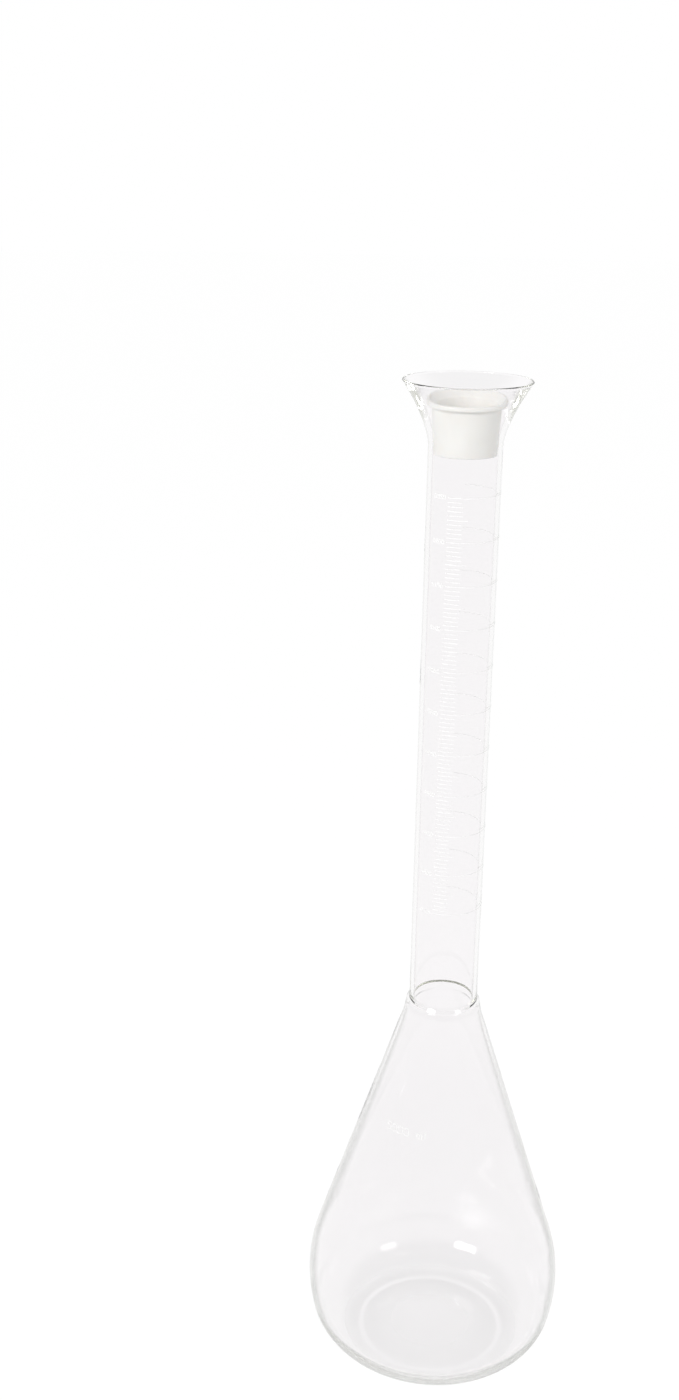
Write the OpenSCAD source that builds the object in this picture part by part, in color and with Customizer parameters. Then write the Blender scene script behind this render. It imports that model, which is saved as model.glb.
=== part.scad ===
// Conical volumetric flask with a graduated neck, a funnel mouth and a hollow stopper.
// The flask stands on its foot ring: origin at the centre of the base, +Z up the neck.
// The scale is read from the front, which is -Y. All lengths are in millimetres.

/* [Body] */
// Largest outside diameter of the body
body_d = 198.4; // [180:0.2:210]
// Height of the widest ring above the table
belly_z = 56.5; // [50:0.5:66]
// Radius of the arc that runs through the widest ring
belly_arc_r = 113; // [105:1:130]
// Outside radius of the heel, between the wall and the foot
heel_r = 38.5; // [32:0.5:42]
// Inside radius of the heel
heel_bore_r = 39; // [34:1:42]
// Thickness of the glass of the wall and cone
body_wall = 2.5; // [1.8:0.1:3]
// Thickness of the floor at the foot ring
floor_t = 5.5; // [4:0.5:10]
// Rise of the underside at the centre of the base
punt_h = 4; // [1:0.5:5]
// Width of the flat ring that the flask stands on
foot_w = 4; // [3:0.5:10]

/* [Neck] */
// Outside diameter of the neck tube
neck_d = 51.5; // [48:0.5:54]
// Inside diameter of the neck tube
neck_bore_d = 45.3; // [43:0.1:47]
// Height at which the cone meets the neck
neck_base_z = 301; // [280:1:330]
// How far the weld ring reaches down inside the cone
seal_depth = 12; // [11:0.5:16]
// How far the weld ring reaches up the neck
seal_rise = 4; // [3:0.5:8]
// Outside diameter of the weld ring at its widest line
ring_d = 55.2; // [54:0.1:57]
// How far the widest line of the weld ring sits below the top of the cone
ring_drop = 1.4; // [1:0.1:3]
// Height of the ring's shoulder, from its widest line up to the neck
ring_shoulder = 2.6; // [1.5:0.1:4]
// How far the bore of the neck runs down past the top of the cone
seal_bore = 4; // [2:0.5:5]
// Height of the slope between the end of that bore and the inside of the cone
seal_slope = 4; // [2:0.5:5]
// Length of the neck tube above the weld ring
neck_l = 414; // [370:1:450]

/* [Mouth] */
// Height of the funnel mouth, from the top of the neck tube to the rim
mouth_h = 48.5; // [40:0.5:60]
// Outside diameter of the rim
mouth_d = 89.5; // [80:0.5:100]
// Straight stub below the flare, on the outside
flare_stub = 3.5; // [2:0.5:6]
// Straight throat below the flare, on the inside
throat_l = 8; // [6:0.5:12]
// How sharply the flare bends out: 1 is a straight cone
flare_power = 1.55; // [1.2:0.05:2]
// Thickness of the fire-polished rim
rim_t = 2.8; // [2:0.1:4]

/* [Scale] */
// Gap between the highest graduation and the top of the neck tube
scale_gap = 28; // [15:0.5:40]
// Distance between two graduations, which is 5 ml of the bore
division = 3.1; // [2.9:0.01:3.2]
// Number of divisions on the scale
divisions = 100; // [50:10:100]
// Capacity at the lowest graduation, in millilitres
scale_low_ml = 4750; // [4000:50:5000]
// Capacity of one division, in millilitres
division_ml = 5; // [5:5:10]
// Width of a graduation line
line_w = 0.4; // [0.3:0.05:0.8]
// Thickness of the fired enamel
enamel_t = 0.12; // [0.08:0.01:0.2]
// Angle from the front at which every line begins
line_start = -4; // [-10:1:0]
// Angle at which the short lines end
short_end = 20; // [12:1:24]
// Angle at which the five-division lines end
medium_end = 28; // [25:1:40]
// Angle at which the ten-division rings end
ring_end = 200; // [120:5:300]
// Height of the figures beside the rings
figure_h = 2.6; // [2:0.1:4]
// Angle from the front at which the figures beside the rings end
figure_end = -7; // [-12:1:-6]
// Height of the capacity figures on the cone
capacity_h = 5.5; // [4:0.5:9]
// Height above the table of the middle of the capacity figures
capacity_z = 211; // [180:1:240]
// Angle from the front of the middle of the capacity figures
capacity_turn = -5; // [-20:1:20]
// Capacity that the figures on the cone state, in millilitres
capacity_ml = 5000; // [1000:500:9000]

/* [Stopper] */
// Height of the stopper, from its flat end to the top of its lip
stopper_h = 36; // [30:0.5:45]
// How far the stopper's lip sits below the rim of the mouth
stopper_sink = 14.5; // [8:0.5:18]
// Taper of the stopper: millimetres of radius for each millimetre of height
stopper_taper = 0.076; // [0.04:0.002:0.1]
// Outside diameter of the lip
lip_d = 56.5; // [52:0.5:58]
// Thickness of the lip
lip_t = 3; // [2:0.25:4]
// Wall of the hollow stopper
stopper_wall = 1.8; // [1.2:0.1:2.5]
// Gap between the stopper and the throat where it seats
seat_gap = 0.12; // [0.08:0.01:0.3]

/* [Hidden] */
$fn = 180;

// Facets of a quarter-circle arc in an outline
arc_steps = 16;
// Points along the flare of the mouth
flare_steps = 18;
// Facets of a small rounding at a corner of an outline, and its radius outside and inside the weld
bend_steps = 4;
weld_r = 1;
weld_bore_r = 3;
// The enamel is fired on the glass: its gap is only what keeps the two solids apart
enamel_gap = 0.01;
// Angle of one flat facet of an enamel line
line_facet = 3;

body_r = body_d / 2;
neck_r = neck_d / 2;
bore_r = neck_bore_d / 2;
mouth_r = mouth_d / 2;

// Heights up the flask. The scale hangs from the top of the neck tube.
seal_z0 = neck_base_z - seal_depth;
seal_z1 = neck_base_z + seal_rise;
mouth_z0 = seal_z1 + neck_l;
flask_h = mouth_z0 + mouth_h;
flare_z = mouth_z0 + flare_stub;
throat_z = mouth_z0 + throat_l;
scale_z = mouth_z0 - scale_gap - divisions * division;

// Centre of the belly arc, and the angle at which the straight cone leaves it
belly_x = body_r - belly_arc_r;
cone_dx = neck_r - belly_x;
cone_dz = neck_base_z - belly_z;
cone_a = atan2(cone_dz, cone_dx) - acos(belly_arc_r / norm([cone_dx, cone_dz]));

// Centres of the outside and inside heel arcs, each tangent to the belly arc on its side
heel_x = belly_x + sqrt(pow(belly_arc_r - heel_r, 2) - pow(belly_z - heel_r, 2));
heel_bore_z = floor_t + heel_bore_r;
heel_bore_x = belly_x
    + sqrt(pow(belly_arc_r - body_wall - heel_bore_r, 2) - pow(belly_z - heel_bore_z, 2));
heel_a = atan2(heel_r - belly_z, heel_x - belly_x);
heel_bore_a = atan2(heel_bore_z - belly_z, heel_bore_x - belly_x);
foot_in_r = heel_x - foot_w;

// Stopper heights, and its radius where it meets the throat
lip_z = flask_h - stopper_sink;
stopper_z = lip_z - stopper_h;
seat_r = bore_r - seat_gap;

// Points of an arc about [x, z], from angle a0 to a1
function arc(x, z, r, a0, a1) =
    let (n = max(3, ceil(arc_steps * abs(a1 - a0) / 90)))
    [for (i = [0 : n]) let (a = a0 + (a1 - a0) * i / n) [x + r * cos(a), z + r * sin(a)]];

// Radius of the cone at height z, at a depth below its outside
function cone_r(z, depth) =
    belly_x + ((belly_arc_r - depth) - (z - belly_z) * sin(cone_a)) / cos(cone_a);

// Radius of the mouth's flare, from r0 at z0 to r1 at z1
function flare_r(z, r0, z0, r1, z1) = r0 + (r1 - r0) * pow((z - z0) / (z1 - z0), flare_power);

// Points up the flare, from its start to the edge of the rim's rounding
function flare(r0, z0, r1, z1) =
    [for (i = [0 : flare_steps]) let (z = z0 + (z1 - z0) * i / flare_steps)
        [flare_r(z, r0, z0, r1, z1), z]];

function reversed(list) = [for (i = [len(list) - 1 : -1 : 0]) list[i]];

// Points of a rounding of radius r at the corner b of an outline that runs from a by b to c
function bend(a, b, c, r) =
    let (u = (a - b) / norm(a - b), v = (c - b) / norm(c - b), half = acos(u * v) / 2,
         m = b + (u + v) / norm(u + v) * r / sin(half), s = b + u * r / tan(half) - m,
         turn = sign(cross(b - a, c - b)) * (180 - 2 * half))
    [for (i = [0 : bend_steps]) let (t = turn * i / bend_steps)
        m + [s.x * cos(t) - s.y * sin(t), s.x * sin(t) + s.y * cos(t)]];

function stopper_r(z) = seat_r + (z - throat_z) * stopper_taper;

// Underside of the base: a shallow dome inside the foot ring
function punt() =
    let (r = (pow(foot_in_r, 2) + pow(punt_h, 2)) / (2 * punt_h), a = asin(foot_in_r / r))
    [for (i = [0 : arc_steps]) let (t = a * i / arc_steps) [r * sin(t), punt_h - r * (1 - cos(t))]];

// Inside floor: the same dome, lifted by the floor's thickness, out to the heel
function floor_dome() =
    let (h = punt_h, r = (pow(heel_bore_x, 2) + pow(h, 2)) / (2 * h), a = asin(heel_bore_x / r))
    [for (i = [0 : arc_steps]) let (t = a * i / arc_steps)
        [r * sin(t), floor_t + h - r * (1 - cos(t))]];

module conical_body() {
    outside = concat(
        arc(heel_x, heel_r, heel_r, -90, heel_a),
        arc(belly_x, belly_z, belly_arc_r, heel_a, cone_a),
        [[cone_r(seal_z0, 0), seal_z0]]);
    inside = concat(
        arc(heel_bore_x, heel_bore_z, heel_bore_r, -90, heel_bore_a),
        arc(belly_x, belly_z, belly_arc_r - body_wall, heel_bore_a, cone_a),
        [[cone_r(seal_z0, body_wall), seal_z0]]);
    color([0.88, 0.93, 0.92, 0.45])
    rotate_extrude() polygon(concat(punt(), outside, reversed(inside), reversed(floor_dome())));
}

// Thick ring where the neck is welded into the top of the cone, with a shoulder outside
module neck_seal() {
    ring_z = neck_base_z - ring_drop;
    slope_z = neck_base_z - seal_bore;
    low = [cone_r(seal_z0, 0), seal_z0];
    ring = [ring_d / 2, ring_z];
    ring_top = [neck_r, ring_z + ring_shoulder];
    slope_top = [bore_r, slope_z];
    slope_low = [cone_r(slope_z - seal_slope, body_wall), slope_z - seal_slope];
    low_in = [cone_r(seal_z0, body_wall), seal_z0];
    color([0.62, 0.74, 0.68, 0.6])
    rotate_extrude() polygon(concat(
        [low],
        bend(low, ring, ring_top, weld_r),
        bend(ring, ring_top, [neck_r, seal_z1], weld_r),
        [[neck_r, seal_z1], [bore_r, seal_z1]],
        bend([bore_r, seal_z1], slope_top, slope_low, weld_bore_r),
        bend(slope_top, slope_low, low_in, weld_bore_r),
        [low_in]));
}

module neck_tube() {
    color([0.9, 0.94, 0.94, 0.4])
    translate([0, 0, seal_z1])
    difference() {
        cylinder(h = neck_l, r = neck_r);
        translate([0, 0, -1]) cylinder(h = neck_l + 2, r = bore_r);
    }
}

module funnel_mouth() {
    rim_z = flask_h - rim_t / 2;
    color([0.9, 0.94, 0.94, 0.4])
    rotate_extrude() polygon(concat(
        [[bore_r, mouth_z0], [neck_r, mouth_z0]],
        flare(neck_r, flare_z, mouth_r, rim_z),
        arc(mouth_r - rim_t / 2, rim_z, rim_t / 2, 0, 180),
        reversed(flare(bore_r, throat_z, mouth_r - rim_t, rim_z))));
}

// Outline of a band round the neck from angle a0 to a1, in flat facets that clear the glass
function band(a0, a1) =
    let (n = ceil((a1 - a0) / line_facet), half = (a1 - a0) / n / 2,
         r0 = (neck_r + enamel_gap) / cos(half), r1 = r0 + enamel_t)
    concat([for (i = [0 : n]) let (a = a0 + 2 * half * i) r1 * [cos(a), sin(a)]],
           [for (i = [n : -1 : 0]) let (a = a0 + 2 * half * i) r0 * [cos(a), sin(a)]]);

// One enamel line round the neck, from angle a0 to a1 (0 is the front), at height z
module neck_line(z, a0, a1) {
    translate([0, 0, z - line_w / 2])
    linear_extrude(height = line_w)
    polygon(band(a0 - 90, a1 - 90));
}

// Lines at every step-th division that isn't also a multiple of skip
module neck_lines(step, skip, a1) {
    color([0.86, 0.86, 0.84])
    for (i = [0 : step : divisions]) {
        if (skip == 0 || i % skip != 0) neck_line(scale_z + i * division, line_start, a1);
    }
}

module short_graduations() {
    neck_lines(1, 5, short_end);
}

module medium_graduations() {
    neck_lines(5, 10, medium_end);
}

module ring_graduations() {
    neck_lines(10, 0, ring_end);
}

// Strokes of the figures 0 to 9 and the letters m and l, on a grid 4 wide and 6 high.
// Each stroke is a list of grid points.
STROKES = [
    [[[1, 0], [3, 0], [4, 1], [4, 5], [3, 6], [1, 6], [0, 5], [0, 1], [1, 0]]],
    [[[1, 5], [2, 6], [2, 0]]],
    [[[0, 5], [1, 6], [3, 6], [4, 5], [4, 4], [0, 0], [4, 0]]],
    [[[0, 5], [1, 6], [3, 6], [4, 5], [4, 4], [3, 3], [4, 2], [4, 1], [3, 0], [1, 0], [0, 1]]],
    [[[3, 0], [3, 6], [0, 2], [4, 2]]],
    [[[4, 6], [0, 6], [0, 3.4], [3, 3.4], [4, 2.4], [4, 1], [3, 0], [0, 0]]],
    [[[3, 6], [1, 6], [0, 5], [0, 1], [1, 0], [3, 0], [4, 1], [4, 2.4], [3, 3.4], [0, 3.4]]],
    [[[0, 6], [4, 6], [1.5, 0]]],
    [[[1, 3.2], [0, 4], [0, 5], [1, 6], [3, 6], [4, 5], [4, 4], [3, 3.2], [1, 3.2],
      [0, 2.2], [0, 1], [1, 0], [3, 0], [4, 1], [4, 2.2], [3, 3.2]]],
    [[[1, 0], [3, 0], [4, 1], [4, 5], [3, 6], [1, 6], [0, 5], [0, 3.6], [1, 2.6], [4, 2.6]]],
    [[[0, 0], [0, 4]], [[0, 3.4], [0.6, 4], [1.4, 4], [2, 3.4], [2, 0]],
     [[2, 3.4], [2.6, 4], [3.4, 4], [4, 3.4], [4, 0]]],
    [[[1, 6], [1, 0]]]
];
LETTER_M = 10;
LETTER_L = 11;

// One straight stroke with round ends
module stroke(p, q, w) {
    translate(p) circle(d = w, $fn = 16);
    translate(q) circle(d = w, $fn = 16);
    translate(p) rotate(atan2(q.y - p.y, q.x - p.x)) translate([0, -w / 2]) square([norm(q - p), w]);
}

// One figure or letter of height h, standing on the XZ plane and facing -Y
module glyph(index, h) {
    u = h / 6;
    rotate([90, 0, 0])
    linear_extrude(height = enamel_t)
    for (line = STROKES[index], i = [1 : len(line) - 1]) {
        stroke((line[i - 1] - [2, 3]) * u, (line[i] - [2, 3]) * u, line_w);
    }
}

// The figures of a whole number, as a list of digits from left to right
function digits(n) = n < 10 ? [n] : concat(digits(floor(n / 10)), [n % 10]);

// Width of one figure with its space, and the angle that it takes at radius r
function pitch_a(h, r) = (h * 0.95) / r * 180 / PI;

// A flat glyph laid against the glass stands off by its own sagitta at the middle
function stand_off(h, r) = enamel_gap + r - sqrt(r * r - pow(h / 3 + line_w / 2, 2));

module scale_figures() {
    step_a = pitch_a(figure_h, neck_r);
    color([0.86, 0.86, 0.84])
    for (i = [0 : 10 : divisions]) {
        list = digits(scale_low_ml + i * division_ml);
        for (k = [0 : len(list) - 1]) {
            rotate([0, 0, figure_end - (len(list) - k - 0.5) * step_a])
            translate([0, -neck_r - stand_off(figure_h, neck_r), scale_z + i * division])
            glyph(list[k], figure_h);
        }
    }
}

module capacity_figures() {
    r = cone_r(capacity_z, 0);
    list = concat(digits(capacity_ml), [-1, LETTER_M, LETTER_L]);
    step_a = pitch_a(capacity_h, r);
    lean = 90 - cone_a;
    color([0.86, 0.86, 0.84])
    for (k = [0 : len(list) - 1]) {
        if (list[k] >= 0) {
            rotate([0, 0, capacity_turn + (k - (len(list) - 1) / 2) * step_a])
            translate([0, -r, capacity_z])
            rotate([lean - 90, 0, 0])
            translate([0, -stand_off(capacity_h, r), 0])
            glyph(list[k], capacity_h);
        }
    }
}

// Hollow moulded stopper with a lip, open at the top
module stopper() {
    lip_r = lip_d / 2;
    round_r = lip_t / 3;
    neck_z = lip_z - lip_t;
    edge = 0.8;
    color([0.95, 0.94, 0.9])
    rotate_extrude() polygon(concat(
        [[0, stopper_z], [stopper_r(stopper_z) - edge, stopper_z],
         [stopper_r(stopper_z + edge), stopper_z + edge], [stopper_r(neck_z), neck_z]],
        arc(lip_r - round_r, neck_z + round_r, round_r, -90, 0),
        arc(lip_r - round_r, lip_z - round_r, round_r, 0, 90),
        [[stopper_r(neck_z) - stopper_wall, lip_z],
         [stopper_r(stopper_z) - stopper_wall, stopper_z + stopper_wall], [0, stopper_z + stopper_wall]]));
}

conical_body();
neck_seal();
neck_tube();
funnel_mouth();
short_graduations();
medium_graduations();
ring_graduations();
scale_figures();
capacity_figures();
stopper();
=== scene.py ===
"""Looks of the conical volumetric flask: blown glass, a fired enamel scale and a hollow stopper."""

import math

import bmesh
import bpy
from mathutils import Matrix, Vector


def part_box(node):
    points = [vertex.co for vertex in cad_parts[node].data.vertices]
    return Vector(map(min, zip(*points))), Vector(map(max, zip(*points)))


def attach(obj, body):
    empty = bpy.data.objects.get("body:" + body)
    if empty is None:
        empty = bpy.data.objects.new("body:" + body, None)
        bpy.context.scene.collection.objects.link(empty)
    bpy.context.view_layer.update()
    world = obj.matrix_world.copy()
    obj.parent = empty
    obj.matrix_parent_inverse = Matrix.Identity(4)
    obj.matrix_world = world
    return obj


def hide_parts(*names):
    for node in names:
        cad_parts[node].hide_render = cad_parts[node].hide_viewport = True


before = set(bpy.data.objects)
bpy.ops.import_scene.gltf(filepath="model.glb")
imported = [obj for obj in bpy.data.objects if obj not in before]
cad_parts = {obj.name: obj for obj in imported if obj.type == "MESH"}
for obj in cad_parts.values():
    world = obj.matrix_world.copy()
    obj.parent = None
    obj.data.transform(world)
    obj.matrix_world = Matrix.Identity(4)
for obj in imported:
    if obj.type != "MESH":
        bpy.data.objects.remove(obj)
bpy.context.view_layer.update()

# Everything is in metres, in the frame of the part: +Z up, the scale faces -Y.
MM = 0.001

# Blown glass. The boxes of the CAD nodes give the main sizes. The other sizes are the source's own,
# apart from the four in the next block.
BODY_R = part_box("conical_body")[1].x
NECK_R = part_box("neck_tube")[1].x
MOUTH_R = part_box("funnel_mouth")[1].x
FLASK_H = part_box("funnel_mouth")[1].z
MOUTH_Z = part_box("funnel_mouth")[0].z
SEAL_Z0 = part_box("neck_seal")[0].z
SEAL_Z1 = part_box("neck_seal")[1].z
SEAL_DEPTH = 12 * MM
NECK_BASE_Z = SEAL_Z0 + SEAL_DEPTH
BELLY_Z = 56.5 * MM
BELLY_ARC_R = 113 * MM
HEEL_R = 38.5 * MM
BODY_WALL = 2.5 * MM
FOOT_W = 4 * MM
BORE_R = 22.65 * MM
FLARE_STUB = 3.5 * MM
THROAT_L = 8 * MM
FLARE_POWER = 1.55
RING_R = 27.6 * MM
RING_DROP = 1.4 * MM
RING_Z = NECK_BASE_Z - RING_DROP
RING_SHOULDER = 2.6 * MM
SEAL_BORE = 4 * MM
SEAL_SLOPE = 4 * MM

# Drawn thinner than in the source, whose values make the heel and the rim darker than the photo:
# the floor, the inside radius of the heel, the dome underneath and the rim.
FLOOR_T = 3.5 * MM
HEEL_BORE_R = 38 * MM
PUNT_H = 3.2 * MM
RIM_T = 1.7 * MM

# Fillets of the weld ring, which the source leaves sharp
WELD_FILLET = 1 * MM
WELD_BORE_FILLET = 3 * MM
PLAIN_NECK_GAP = 2 * MM

# Stopper. The dished lip and the soft edges are the scene's own, the rest is as in the source.
LIP_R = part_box("stopper")[1].x
STOPPER_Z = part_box("stopper")[0].z
LIP_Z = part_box("stopper")[1].z
LIP_T = 3 * MM
STOPPER_TAPER = 0.076
STOPPER_WALL = 1.8 * MM
LIP_RIM = 1.9 * MM
DISH_H = 4.5 * MM
SEAT_GAP = 0.12 * MM
SEAT_R = BORE_R - SEAT_GAP
SEAT_Z = MOUTH_Z + THROAT_L
END_EDGE = 0.8 * MM
LIP_EDGE = 0.9 * MM
LIP_ROOT = 1 * MM
LIP_INNER_EDGE = 0.3 * MM
DISH_FILLET = 1.5 * MM
CUP_TOP_INSET = 0.2 * MM
CUP_TOP_DROP = 2 * MM
CUP_CORNER = 1.5 * LIP_EDGE
CUP_CORNER_REACH = 2 * LIP_EDGE
FLAT_START_R = 2 * MM

# How finely the round shapes are drawn
GLASS_SEGMENTS = 224
STOPPER_SEGMENTS = 160
BIG_ARC_STEPS = 32
CONE_STEPS = 24
NECK_STEPS = 30
FLARE_STEPS = 40
DOME_STEPS = 20
RIM_STEPS = 16
WELD_STEPS = 10
STOPPER_WALL_STEPS = 16
STOPPER_END_STEPS = 8
CUP_FLOOR_STEPS = 6
EDGE_STEPS = 6
LIP_INNER_STEPS = 4
SAME_POINT = 0.02 * MM
ON_AXIS_R = 1e-6

# The camera, as it stood when the picture was taken. The picture is 679 by 1400 pixels.
PICTURE_H = 1400
FOCAL_PX = 1710.4
SENSOR = 36.0
CAMERA_DISTANCE = 1.1672
CAMERA_HEIGHT = 0.9308
CAMERA_AZIMUTH = math.radians(20.0)
CAMERA_HEADING = math.radians(24.08)
CAMERA_PITCH = math.radians(18.675)
CAMERA_ROLL = math.radians(1.033)
CLIP_NEAR = 0.05
CLIP_FAR = 100

# Soft boxes: degrees to the right of the part's front, width and height, radiance
LAMP_DISTANCE = 1.35
LAMP_HEIGHT = 1.20
LAMP_AIM_Z = 0.02
SOFT_BOXES = {
    "window_front": (-19, 0.60, 0.36, 13.5),
    "window_right": (74, 0.46, 0.30, 5.0),
}

# Studio. A height in the sky is the sine of its angle: 0.50 is 30 degrees up and 0.76 is 49.
WHITE = (1, 1, 1, 1)
WALL_TOP = 0.50
CEILING_START = 0.76
CEILING_GREY = (0.12, 0.12, 0.12, 1)
FILL_STRENGTH = 0.73
MATT_WHITE = (0.85, 0.85, 0.85, 1)
FLOOR_RADIUS = 12
FLOOR_SIDES = 96

# Where it is seen, the floor glows so that it is as white as the walls. The rest of its shader is
# matt and takes the shadow, but at this level the shadow is clipped to white in the picture.
FLOOR_GLOW_SHARE = 0.80
FLOOR_GLOW_NEAR = 1.08
FLOOR_GLOW_FAR = 1.09
FLOOR_NEAR_R = 0.2
FLOOR_FAR_R = 2.5

# Glass. The body is a little greyer than the neck: painted shade that stands in for grey surroundings seen
# through the body. Its slanted edges are darker: painted shade that stands in for dark surroundings seen
# through them at a slant.
GLASS_IOR = 1.473
BODY_TINT_AND_PAINTED_SHADE = (0.951, 0.942, 0.948, 1)
NECK_TINT = (0.968, 0.959, 0.965, 1)
TINT_FROM_Z = 0.20
TINT_TO_Z = 0.31
# Painted shade at slanted edges, standing in for dark surroundings seen through the glass there.
EDGE_PAINTED_SHADE = (0.48, 0.48, 0.47, 1)
EDGE_BLEND = 0.5
EDGE_FROM = 0.70
EDGE_TO = 0.80
EDGE_SHARE_BODY = 0.95
EDGE_SHARE_NECK = 0.45
EDGE_FROM_Z = 0.30
EDGE_TO_Z = 0.34
SOAK_COLOUR = (0.75, 0.76, 0.70, 1)
SOAK_DENSITY = 8.0
SHADOW_TINT = (0.965, 0.97, 0.967, 1)
WAVE_SCALE = 28.0
WAVE_DETAIL = 2.0
WAVE_ROUGHNESS = 0.4
WAVE_STRENGTH = 0.25
WAVE_DEPTH = 0.0006

# Scuffs under the base. They end between the dome underneath and the floor inside.
SCUFF_TOP_Z = 3.4 * MM
SCUFF_FROM_Z = 0.8 * MM
SCUFF_ROUGHNESS_LOW = 0.42
SCUFF_ROUGHNESS_HIGH = 0.15

# Enamel
ENAMEL_THIN = (0.93, 0.93, 0.92, 1)
ENAMEL_FULL = (0.97, 0.97, 0.96, 1)
ENAMEL_THIN_AT = 0.3
ENAMEL_FULL_AT = 0.65
ENAMEL_ROUGHNESS = 0.45
GRAIN_SCALE = 900.0
GRAIN_DETAIL = 3.0
GRAIN_ROUGHNESS = 0.6
GRAIN_STRENGTH = 0.3
GRAIN_DEPTH = 0.00005

# Stopper plastic
PLASTIC_DULL = (0.88, 0.865, 0.835, 1)
PLASTIC_BRIGHT = (0.93, 0.92, 0.895, 1)
PLASTIC_DULL_AT = 0.3
PLASTIC_BRIGHT_AT = 0.7
PLASTIC_ROUGHNESS_LOW = 0.38
PLASTIC_ROUGHNESS_HIGH = 0.55
PLASTIC_IOR = 1.5
PLASTIC_SUBSURFACE = 0.25
SUBSURFACE_RADIUS = (0.004, 0.0035, 0.003)
SUBSURFACE_SCALE = 0.5
MOTTLE_SCALE = 60.0
MOTTLE_DETAIL = 4.0
MOTTLE_ROUGHNESS = 0.55
SATIN_SCALE = 1400.0
SATIN_DETAIL = 2.0
SATIN_ROUGHNESS = 0.5
SATIN_STRENGTH = 0.2
SATIN_DEPTH = 0.0001

# Light bounces. Glass inside glass needs many.
BOUNCES = 64
TRANSPARENT_BOUNCES = 48

# Sockets of a colour Mix node, whose names repeat
MIX_FACTOR = 0
MIX_FIRST = 6
MIX_SECOND = 7
MIX_RESULT = 2

MARKINGS = ("short_graduations", "medium_graduations", "ring_graduations", "scale_figures",
            "capacity_figures")


def cone_angle():
    """Angle at which the straight cone leaves the belly arc."""
    dx = NECK_R - (BODY_R - BELLY_ARC_R)
    dz = NECK_BASE_Z - BELLY_Z
    return math.atan2(dz, dx) - math.acos(BELLY_ARC_R / math.hypot(dx, dz))


BELLY_X = BODY_R - BELLY_ARC_R
CONE_A = cone_angle()


def cone_r(z, depth=0.0):
    """Radius of the cone at height z, at a depth below its outside."""
    return BELLY_X + (BELLY_ARC_R - depth - (z - BELLY_Z) * math.sin(CONE_A)) / math.cos(CONE_A)


def arc(x, z, r, a0, a1, steps):
    """Points of an arc about (x, z), from angle a0 to a1 in radians."""
    return [(x + r * math.cos(a0 + (a1 - a0) * i / steps), z + r * math.sin(a0 + (a1 - a0) * i / steps))
            for i in range(steps + 1)]


def line(p, q, steps):
    """Points of a straight line from p to q."""
    return [(p[0] + (q[0] - p[0]) * i / steps, p[1] + (q[1] - p[1]) * i / steps)
            for i in range(steps + 1)]


def dome(radius, rise, base_z):
    """Points of a shallow dome from the axis out to a radius."""
    r = (radius ** 2 + rise ** 2) / (2 * rise)
    a = math.asin(radius / r)
    return [(r * math.sin(a * i / DOME_STEPS), base_z + rise - r * (1 - math.cos(a * i / DOME_STEPS)))
            for i in range(DOME_STEPS + 1)]


def fillet(corner, before, after, radius, steps):
    """Points of a rounding at a corner of an outline, between the points before and after it."""
    c = Vector(corner)
    u = (Vector(before) - c).normalized()
    v = (Vector(after) - c).normalized()
    half = u.angle(v) / 2
    reach = radius / math.tan(half)
    centre = c + (u + v).normalized() * radius / math.sin(half)
    start = c + u * reach - centre
    end = c + v * reach - centre
    turn = start.angle_signed(end)
    return [tuple(centre + Matrix.Rotation(-turn * i / steps, 2) @ start) for i in range(steps + 1)]


def flare(r0, z0, r1, z1):
    """Points up the flare of the mouth."""
    return [(r0 + (r1 - r0) * (i / FLARE_STEPS) ** FLARE_POWER, z0 + (z1 - z0) * i / FLARE_STEPS)
            for i in range(FLARE_STEPS + 1)]


def vessel_outside(rim_z):
    """The outside of the blown glass, from the middle of its underside up to the rim."""
    heel_x = BELLY_X + math.sqrt((BELLY_ARC_R - HEEL_R) ** 2 - (BELLY_Z - HEEL_R) ** 2)
    heel_a = math.atan2(HEEL_R - BELLY_Z, heel_x - BELLY_X)
    cone_top = (cone_r(SEAL_Z0), SEAL_Z0)
    ring = (RING_R, RING_Z)
    ring_top = (NECK_R, RING_Z + RING_SHOULDER)
    points = dome(heel_x - FOOT_W, PUNT_H, 0.0)
    points += arc(heel_x, HEEL_R, HEEL_R, -math.pi / 2, heel_a, BIG_ARC_STEPS)
    points += arc(BELLY_X, BELLY_Z, BELLY_ARC_R, heel_a, CONE_A, BIG_ARC_STEPS)
    points += line(points[-1], cone_top, CONE_STEPS)
    points += fillet(ring, cone_top, ring_top, WELD_FILLET, WELD_STEPS)
    points += fillet(ring_top, ring, (NECK_R, MOUTH_Z), WELD_FILLET, WELD_STEPS)
    points += line((NECK_R, SEAL_Z1 + PLAIN_NECK_GAP), (NECK_R, MOUTH_Z), NECK_STEPS)
    points += flare(NECK_R, MOUTH_Z + FLARE_STUB, MOUTH_R, rim_z)
    return points


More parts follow.
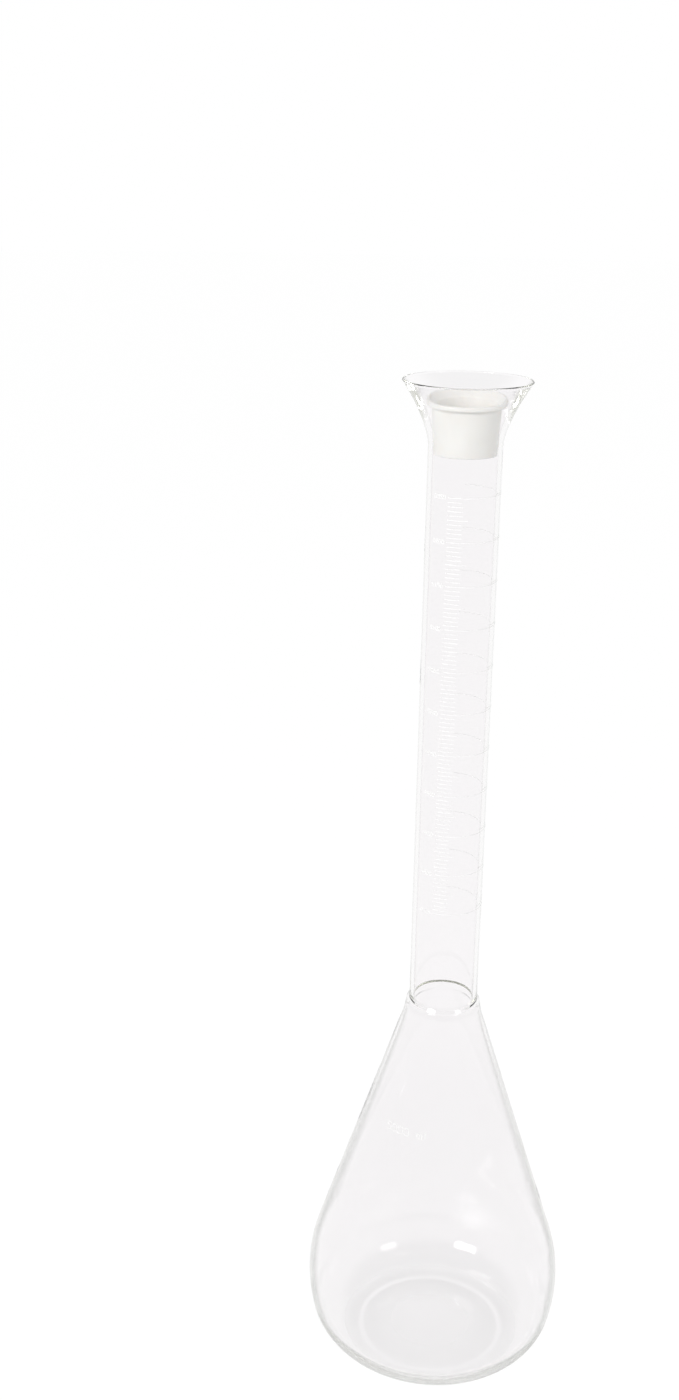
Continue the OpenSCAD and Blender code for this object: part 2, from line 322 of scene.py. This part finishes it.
def vessel_inside(rim_z):
    """The inside of the blown glass, from the middle of its floor up to the rim."""
    bore_z = FLOOR_T + HEEL_BORE_R
    bore_x = BELLY_X + math.sqrt((BELLY_ARC_R - BODY_WALL - HEEL_BORE_R) ** 2 - (BELLY_Z - bore_z) ** 2)
    bore_a = math.atan2(bore_z - BELLY_Z, bore_x - BELLY_X)
    cone_top = (cone_r(SEAL_Z0, BODY_WALL), SEAL_Z0)
    slope_top = (BORE_R, NECK_BASE_Z - SEAL_BORE)
    slope_low = (cone_r(slope_top[1] - SEAL_SLOPE, BODY_WALL), slope_top[1] - SEAL_SLOPE)
    points = dome(bore_x, PUNT_H, FLOOR_T)
    points += arc(bore_x, bore_z, HEEL_BORE_R, -math.pi / 2, bore_a, BIG_ARC_STEPS)
    points += arc(BELLY_X, BELLY_Z, BELLY_ARC_R - BODY_WALL, bore_a, CONE_A, BIG_ARC_STEPS)
    points += line(points[-1], cone_top, CONE_STEPS)
    points += fillet(slope_low, cone_top, slope_top, WELD_BORE_FILLET, WELD_STEPS)
    points += fillet(slope_top, slope_low, (BORE_R, MOUTH_Z), WELD_BORE_FILLET, WELD_STEPS)
    points += line((BORE_R, SEAL_Z1), (BORE_R, MOUTH_Z), NECK_STEPS)
    points += flare(BORE_R, SEAT_Z, MOUTH_R - RIM_T, rim_z)
    return points


def vessel_outline():
    """The section of the blown glass: up the outside, round the rim, down the inside."""
    rim_z = FLASK_H - RIM_T / 2
    rim = arc(MOUTH_R - RIM_T / 2, rim_z, RIM_T / 2, 0, math.pi, RIM_STEPS)
    return spaced(vessel_outside(rim_z) + rim + vessel_inside(rim_z)[::-1])


def spaced(points):
    """The same outline without points that lie on top of each other."""
    kept = [points[0]]
    for p in points[1:]:
        if math.dist(p, kept[-1]) > SAME_POINT:
            kept.append(p)
    return kept


def lathe(name, outline, segments):
    """A round mesh from an outline that starts and ends on the axis."""
    bm = bmesh.new()
    rings = []
    for r, z in outline:
        if r < ON_AXIS_R:
            rings.append([bm.verts.new((0, 0, z))])
            continue
        ring = []
        for k in range(segments):
            a = 2 * math.pi * k / segments
            ring.append(bm.verts.new(Vector((r * math.cos(a), r * math.sin(a), z))))
        rings.append(ring)
    for low, high in zip(rings, rings[1:]):
        for k in range(segments):
            j = (k + 1) % segments
            corners = [low[k % len(low)], low[j % len(low)], high[j % len(high)], high[k % len(high)]]
            unique = list(dict.fromkeys(corners))
            if len(unique) > 2:
                bm.faces.new(unique)
    bmesh.ops.recalc_face_normals(bm, faces=bm.faces)
    mesh = bpy.data.meshes.new(name)
    bm.to_mesh(mesh)
    bm.free()
    mesh.shade_smooth()
    obj = bpy.data.objects.new(name, mesh)
    bpy.context.collection.objects.link(obj)
    return obj


def nodes_of(material):
    """The empty node tree of a new material, with its output."""
    material.use_nodes = True
    tree = material.node_tree
    tree.nodes.clear()
    return tree, tree.nodes.new("ShaderNodeOutputMaterial")


def fill_socket(tree, socket, value):
    """Links a socket given as the value, or sets a plain value."""
    if isinstance(value, bpy.types.NodeSocket):
        tree.links.new(value, socket)
    else:
        socket.default_value = value


def add(tree, kind, **inputs):
    """A node with values or links on the inputs that are named, with _ for a space."""
    node = tree.nodes.new(kind)
    for key, value in inputs.items():
        fill_socket(tree, node.inputs[key.replace("_", " ")], value)
    return node


def object_place(tree):
    """The place of a point on the object, in metres."""
    return tree.nodes.new("ShaderNodeTexCoord").outputs["Object"]


def combine(tree, operation, first, second):
    """The result of a Math node."""
    node = tree.nodes.new("ShaderNodeMath")
    node.operation = operation
    fill_socket(tree, node.inputs[0], first)
    fill_socket(tree, node.inputs[1], second)
    return node.outputs[0]


def map_range(tree, value, low, high, start=0.0, end=1.0):
    """A number that goes from start to end as the value goes from low to high."""
    node = add(tree, "ShaderNodeMapRange", Value=value, From_Min=low, From_Max=high, To_Min=start,
               To_Max=end)
    return node.outputs["Result"]


def mix_colours(tree, factor, first, second):
    """A colour between two others."""
    node = tree.nodes.new("ShaderNodeMix")
    node.data_type = "RGBA"
    fill_socket(tree, node.inputs[MIX_FACTOR], factor)
    fill_socket(tree, node.inputs[MIX_FIRST], first)
    fill_socket(tree, node.inputs[MIX_SECOND], second)
    return node.outputs[MIX_RESULT]


def mix_shaders(tree, factor, first, second):
    """A shader between two others."""
    node = tree.nodes.new("ShaderNodeMixShader")
    fill_socket(tree, node.inputs[0], factor)
    fill_socket(tree, node.inputs[1], first)
    fill_socket(tree, node.inputs[2], second)
    return node.outputs[0]


def colour_ramp(tree, value, low, low_colour, high, high_colour):
    """A colour that goes from one to another as the value goes from low to high."""
    node = add(tree, "ShaderNodeValToRGB", Fac=value)
    elements = node.color_ramp.elements
    elements[0].position = low
    elements[0].color = low_colour
    elements[1].position = high
    elements[1].color = high_colour
    return node.outputs["Color"]


def noise_value(tree, place, scale, detail, roughness):
    """A noise texture's value."""
    node = add(tree, "ShaderNodeTexNoise", Vector=place, Scale=scale, Detail=detail, Roughness=roughness)
    return node.outputs["Fac"]


def bumps(tree, height, strength, depth):
    """A surface normal that is moved by a height."""
    return add(tree, "ShaderNodeBump", Height=height, Strength=strength, Distance=depth).outputs["Normal"]


def glass_tint_and_painted_shade(tree, height):
    """The colour of the glass, with painted shade: greyer in the body than in the neck, and dark at
    slanted edges, both standing in for grey surroundings seen through the glass.
    """
    # Painted shade: the colour turns grey where the glass is seen at a slant.
    slant = add(tree, "ShaderNodeLayerWeight", Blend=EDGE_BLEND)
    edge = map_range(tree, slant.outputs["Facing"], EDGE_FROM, EDGE_TO)
    share = map_range(tree, height, EDGE_FROM_Z, EDGE_TO_Z, EDGE_SHARE_BODY, EDGE_SHARE_NECK)
    # Painted shade: the body's colour is greyer than the neck's, standing in for grey surroundings seen
    # through it.
    upper = map_range(tree, height, TINT_FROM_Z, TINT_TO_Z)
    plain = mix_colours(tree, upper, BODY_TINT_AND_PAINTED_SHADE, NECK_TINT)
    return mix_colours(tree, combine(tree, "MULTIPLY", edge, share), plain, EDGE_PAINTED_SHADE)


def glass_scuffs(tree, height):
    """The roughness of the glass: scuffed under the base and smooth elsewhere."""
    wear = map_range(tree, height, SCUFF_FROM_Z, PUNT_H, SCUFF_ROUGHNESS_LOW, SCUFF_ROUGHNESS_HIGH)
    under = combine(tree, "LESS_THAN", height, SCUFF_TOP_Z)
    return combine(tree, "MULTIPLY", wear, under)


def glass_material():
    """Clear glass with faint waves and a trace of olive where it is thick. It lets light through to
    what is matt as a thin tint, because caustics are off."""
    material = bpy.data.materials.new("clear_glass")
    tree, out = nodes_of(material)
    place = object_place(tree)
    height = add(tree, "ShaderNodeSeparateXYZ", Vector=place).outputs["Z"]
    waves = noise_value(tree, place, WAVE_SCALE, WAVE_DETAIL, WAVE_ROUGHNESS)
    glass = add(tree, "ShaderNodeBsdfPrincipled", Normal=bumps(tree, waves, WAVE_STRENGTH, WAVE_DEPTH),
                Base_Color=glass_tint_and_painted_shade(tree, height), Roughness=glass_scuffs(tree, height), IOR=GLASS_IOR,
                Transmission_Weight=1.0)
    clear = add(tree, "ShaderNodeBsdfTransparent", Color=SHADOW_TINT)
    path = tree.nodes.new("ShaderNodeLightPath")
    passing = combine(tree, "MAXIMUM", path.outputs["Is Shadow Ray"], path.outputs["Is Diffuse Ray"])
    surface = mix_shaders(tree, passing, glass.outputs[0], clear.outputs[0])
    tree.links.new(surface, out.inputs["Surface"])
    soak = add(tree, "ShaderNodeVolumeAbsorption", Color=SOAK_COLOUR, Density=SOAK_DENSITY)
    tree.links.new(soak.outputs[0], out.inputs["Volume"])
    return material


def enamel_material():
    """White enamel fired on the glass, a little uneven."""
    material = bpy.data.materials.new("fired_enamel")
    tree, out = nodes_of(material)
    grain = noise_value(tree, object_place(tree), GRAIN_SCALE, GRAIN_DETAIL, GRAIN_ROUGHNESS)
    colour = colour_ramp(tree, grain, ENAMEL_THIN_AT, ENAMEL_THIN, ENAMEL_FULL_AT, ENAMEL_FULL)
    paint = add(tree, "ShaderNodeBsdfPrincipled", Normal=bumps(tree, grain, GRAIN_STRENGTH, GRAIN_DEPTH),
                Base_Color=colour, Roughness=ENAMEL_ROUGHNESS)
    tree.links.new(paint.outputs[0], out.inputs["Surface"])
    return material


def stopper_material():
    """Off-white moulded plastic, satin, with faint mottling."""
    material = bpy.data.materials.new("stopper_plastic")
    tree, out = nodes_of(material)
    place = object_place(tree)
    mottle = noise_value(tree, place, MOTTLE_SCALE, MOTTLE_DETAIL, MOTTLE_ROUGHNESS)
    satin = noise_value(tree, place, SATIN_SCALE, SATIN_DETAIL, SATIN_ROUGHNESS)
    colour = colour_ramp(tree, mottle, PLASTIC_DULL_AT, PLASTIC_DULL, PLASTIC_BRIGHT_AT, PLASTIC_BRIGHT)
    rough = map_range(tree, mottle, 0.0, 1.0, PLASTIC_ROUGHNESS_LOW, PLASTIC_ROUGHNESS_HIGH)
    plastic = add(tree, "ShaderNodeBsdfPrincipled", Normal=bumps(tree, satin, SATIN_STRENGTH, SATIN_DEPTH),
                  Base_Color=colour, Roughness=rough, IOR=PLASTIC_IOR,
                  Subsurface_Weight=PLASTIC_SUBSURFACE, Subsurface_Radius=SUBSURFACE_RADIUS,
                  Subsurface_Scale=SUBSURFACE_SCALE)
    tree.links.new(plastic.outputs[0], out.inputs["Surface"])
    return material


def make_vessel(material):
    """One seamless piece of glass for the body, the weld ring, the neck and the mouth."""
    vessel = lathe("glass_vessel", vessel_outline(), GLASS_SEGMENTS)
    vessel.data.materials.append(material)
    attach(vessel, "flask")
    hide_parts("conical_body", "neck_seal", "neck_tube", "funnel_mouth")


def stopper_side(z):
    """Outside radius of the stopper's taper at height z."""
    return SEAT_R + (z - SEAT_Z) * STOPPER_TAPER


def stopper_outside():
    """The outside of the stopper: out along its flat end, up the taper and round the lip."""
    end_r = stopper_side(STOPPER_Z) - END_EDGE
    neck_z = LIP_Z - LIP_T
    taper_low = STOPPER_Z + 2 * END_EDGE
    taper_top = neck_z - LIP_ROOT
    points = [(0, STOPPER_Z)]
    points += line((FLAT_START_R, STOPPER_Z), (end_r, STOPPER_Z), STOPPER_END_STEPS)
    points += arc(end_r, STOPPER_Z + END_EDGE, END_EDGE, -math.pi / 2, 0, EDGE_STEPS)
    points += line((stopper_side(taper_low), taper_low), (stopper_side(taper_top), taper_top),
                   STOPPER_WALL_STEPS)
    points += arc(stopper_side(neck_z) + LIP_ROOT, taper_top, LIP_ROOT, math.pi, math.pi / 2, EDGE_STEPS)
    points += arc(LIP_R - LIP_EDGE, neck_z + LIP_EDGE, LIP_EDGE, -math.pi / 2, 0, EDGE_STEPS)
    points += arc(LIP_R - LIP_EDGE, LIP_Z - LIP_EDGE, LIP_EDGE, 0, math.pi / 2, EDGE_STEPS)
    return points


def stopper_cup():
    """The inside of the stopper: down the dished lip and the wall of the cup to its floor."""
    inner_top = stopper_side(LIP_Z - LIP_T) - STOPPER_WALL
    inner_low = stopper_side(STOPPER_Z) - STOPPER_WALL
    floor_z = STOPPER_Z + STOPPER_WALL
    dish = (LIP_R - LIP_RIM, LIP_Z)
    dish_low = (inner_top, LIP_Z - DISH_H)
    wall_top = (inner_top - CUP_TOP_INSET, LIP_Z - DISH_H - CUP_TOP_DROP)
    points = fillet(dish, (LIP_R, LIP_Z), dish_low, LIP_INNER_EDGE, LIP_INNER_STEPS)
    points += fillet(dish_low, dish, (inner_low, floor_z), DISH_FILLET, EDGE_STEPS)
    points += line(wall_top, (inner_low, floor_z + CUP_CORNER_REACH), STOPPER_WALL_STEPS)
    points += arc(inner_low - CUP_CORNER, floor_z + CUP_CORNER, CUP_CORNER, 0, -math.pi / 2, EDGE_STEPS)
    points += line((inner_low - CUP_CORNER_REACH, floor_z), (FLAT_START_R, floor_z), CUP_FLOOR_STEPS)
    points.append((0, floor_z))
    return points


def make_stopper(material):
    """The hollow stopper, with soft edges."""
    stopper = lathe("stopper_moulding", spaced(stopper_outside() + stopper_cup()), STOPPER_SEGMENTS)
    stopper.data.materials.append(material)
    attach(stopper, "stopper")
    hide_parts("stopper")


def dress_markings(material):
    """The enamel lines and figures keep their CAD shapes."""
    for name in MARKINGS:
        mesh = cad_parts[name].data
        for i in range(len(mesh.materials)):
            mesh.materials[i] = material


def make_camera():
    """The camera at the picture's place and angle."""
    data = bpy.data.cameras.new("camera")
    data.sensor_width = SENSOR
    data.lens = FOCAL_PX * SENSOR / PICTURE_H
    data.clip_start = CLIP_NEAR
    data.clip_end = CLIP_FAR
    ahead = Vector((-math.sin(CAMERA_HEADING) * math.cos(CAMERA_PITCH),
                    math.cos(CAMERA_HEADING) * math.cos(CAMERA_PITCH), -math.sin(CAMERA_PITCH)))
    level_right = Vector((math.cos(CAMERA_HEADING), math.sin(CAMERA_HEADING), 0))
    tilt = Matrix.Rotation(-CAMERA_ROLL, 3, ahead)
    right = tilt @ level_right
    up = tilt @ level_right.cross(ahead)
    camera = bpy.data.objects.new("camera", data)
    camera.matrix_world = Matrix((right, up, -ahead)).transposed().to_4x4()
    camera.location = (CAMERA_DISTANCE * math.sin(CAMERA_AZIMUTH),
                       -CAMERA_DISTANCE * math.cos(CAMERA_AZIMUTH), CAMERA_HEIGHT)
    bpy.context.collection.objects.link(camera)
    bpy.context.scene.camera = camera


def soft_box(name, azimuth, width, height, radiance):
    """A soft box at an azimuth from the front of the part, in degrees to the right, aimed at its axis."""
    data = bpy.data.lights.new(name, "AREA")
    data.shape = "RECTANGLE"
    data.size = width
    data.size_y = height
    data.energy = radiance * math.pi * width * height
    light = bpy.data.objects.new(name, data)
    a = math.radians(azimuth)
    light.location = (LAMP_DISTANCE * math.sin(a), -LAMP_DISTANCE * math.cos(a), LAMP_HEIGHT)
    aim = Vector((0, 0, LAMP_AIM_Z)) - light.location
    light.rotation_euler = aim.to_track_quat("-Z", "Y").to_euler()
    light.visible_camera = False
    bpy.context.collection.objects.link(light)


def white_where_seen(tree, path, lit, seen):
    """Mixes two shaders: lit for rays that carry light, seen for the camera, mirrors and glass."""
    direct = combine(tree, "MAXIMUM", path.outputs["Is Camera Ray"], path.outputs["Is Glossy Ray"])
    either = combine(tree, "MAXIMUM", direct, path.outputs["Is Transmission Ray"])
    return mix_shaders(tree, either, lit, seen)


def make_world():
    """A plain studio. The camera sees plain white, mirrors and glass see white walls that fade into a
    dim ceiling, and matt surfaces get an even fill."""
    world = bpy.data.worlds.new("studio")
    bpy.context.scene.world = world
    world.use_nodes = True
    tree = world.node_tree
    tree.nodes.clear()
    out = tree.nodes.new("ShaderNodeOutputWorld")
    path = tree.nodes.new("ShaderNodeLightPath")
    direction = tree.nodes.new("ShaderNodeTexCoord").outputs["Generated"]
    height = add(tree, "ShaderNodeSeparateXYZ", Vector=direction).outputs["Z"]
    sky = colour_ramp(tree, height, WALL_TOP, WHITE, CEILING_START, CEILING_GREY)
    walls = add(tree, "ShaderNodeBackground", Color=sky, Strength=1.0)
    plain = add(tree, "ShaderNodeBackground", Color=WHITE, Strength=1.0)
    fill = add(tree, "ShaderNodeBackground", Color=WHITE, Strength=FILL_STRENGTH)
    seen = mix_shaders(tree, path.outputs["Is Camera Ray"], walls.outputs[0], plain.outputs[0])
    tree.links.new(white_where_seen(tree, path, fill.outputs[0], seen), out.inputs["Surface"])


def make_floor():
    """A wide floor that is white where it is seen, with a matt share in its shader."""
    bpy.ops.mesh.primitive_circle_add(vertices=FLOOR_SIDES, radius=FLOOR_RADIUS, fill_type="NGON",
                                      location=(0, 0, 0))
    floor = bpy.context.object
    floor.name = "floor"
    material = bpy.data.materials.new("floor_white")
    tree, out = nodes_of(material)
    path = tree.nodes.new("ShaderNodeLightPath")
    matt = add(tree, "ShaderNodeBsdfDiffuse", Color=MATT_WHITE).outputs[0]
    reach = tree.nodes.new("ShaderNodeVectorMath")
    reach.operation = "LENGTH"
    tree.links.new(object_place(tree), reach.inputs[0])
    level = add(tree, "ShaderNodeMapRange", Value=reach.outputs["Value"], From_Min=FLOOR_NEAR_R,
                From_Max=FLOOR_FAR_R, To_Min=FLOOR_GLOW_NEAR, To_Max=FLOOR_GLOW_FAR)
    level.interpolation_type = "SMOOTHSTEP"
    glow = add(tree, "ShaderNodeEmission", Color=WHITE, Strength=level.outputs["Result"]).outputs[0]
    seen = mix_shaders(tree, FLOOR_GLOW_SHARE, matt, glow)
    tree.links.new(white_where_seen(tree, path, matt, seen), out.inputs["Surface"])
    floor.data.materials.append(material)


def set_up_scene():
    """The view transform, and enough bounces for glass inside glass."""
    scene = bpy.context.scene
    scene.view_settings.view_transform = "Standard"
    scene.cycles.max_bounces = BOUNCES
    scene.cycles.transmission_bounces = BOUNCES
    scene.cycles.glossy_bounces = BOUNCES
    scene.cycles.transparent_max_bounces = TRANSPARENT_BOUNCES
    scene.cycles.caustics_reflective = False
    scene.cycles.caustics_refractive = False


make_vessel(glass_material())
dress_markings(enamel_material())
make_stopper(stopper_material())
make_camera()
make_world()
make_floor()
for box_name, box_row in SOFT_BOXES.items():
    soft_box(box_name, *box_row)
set_up_scene()
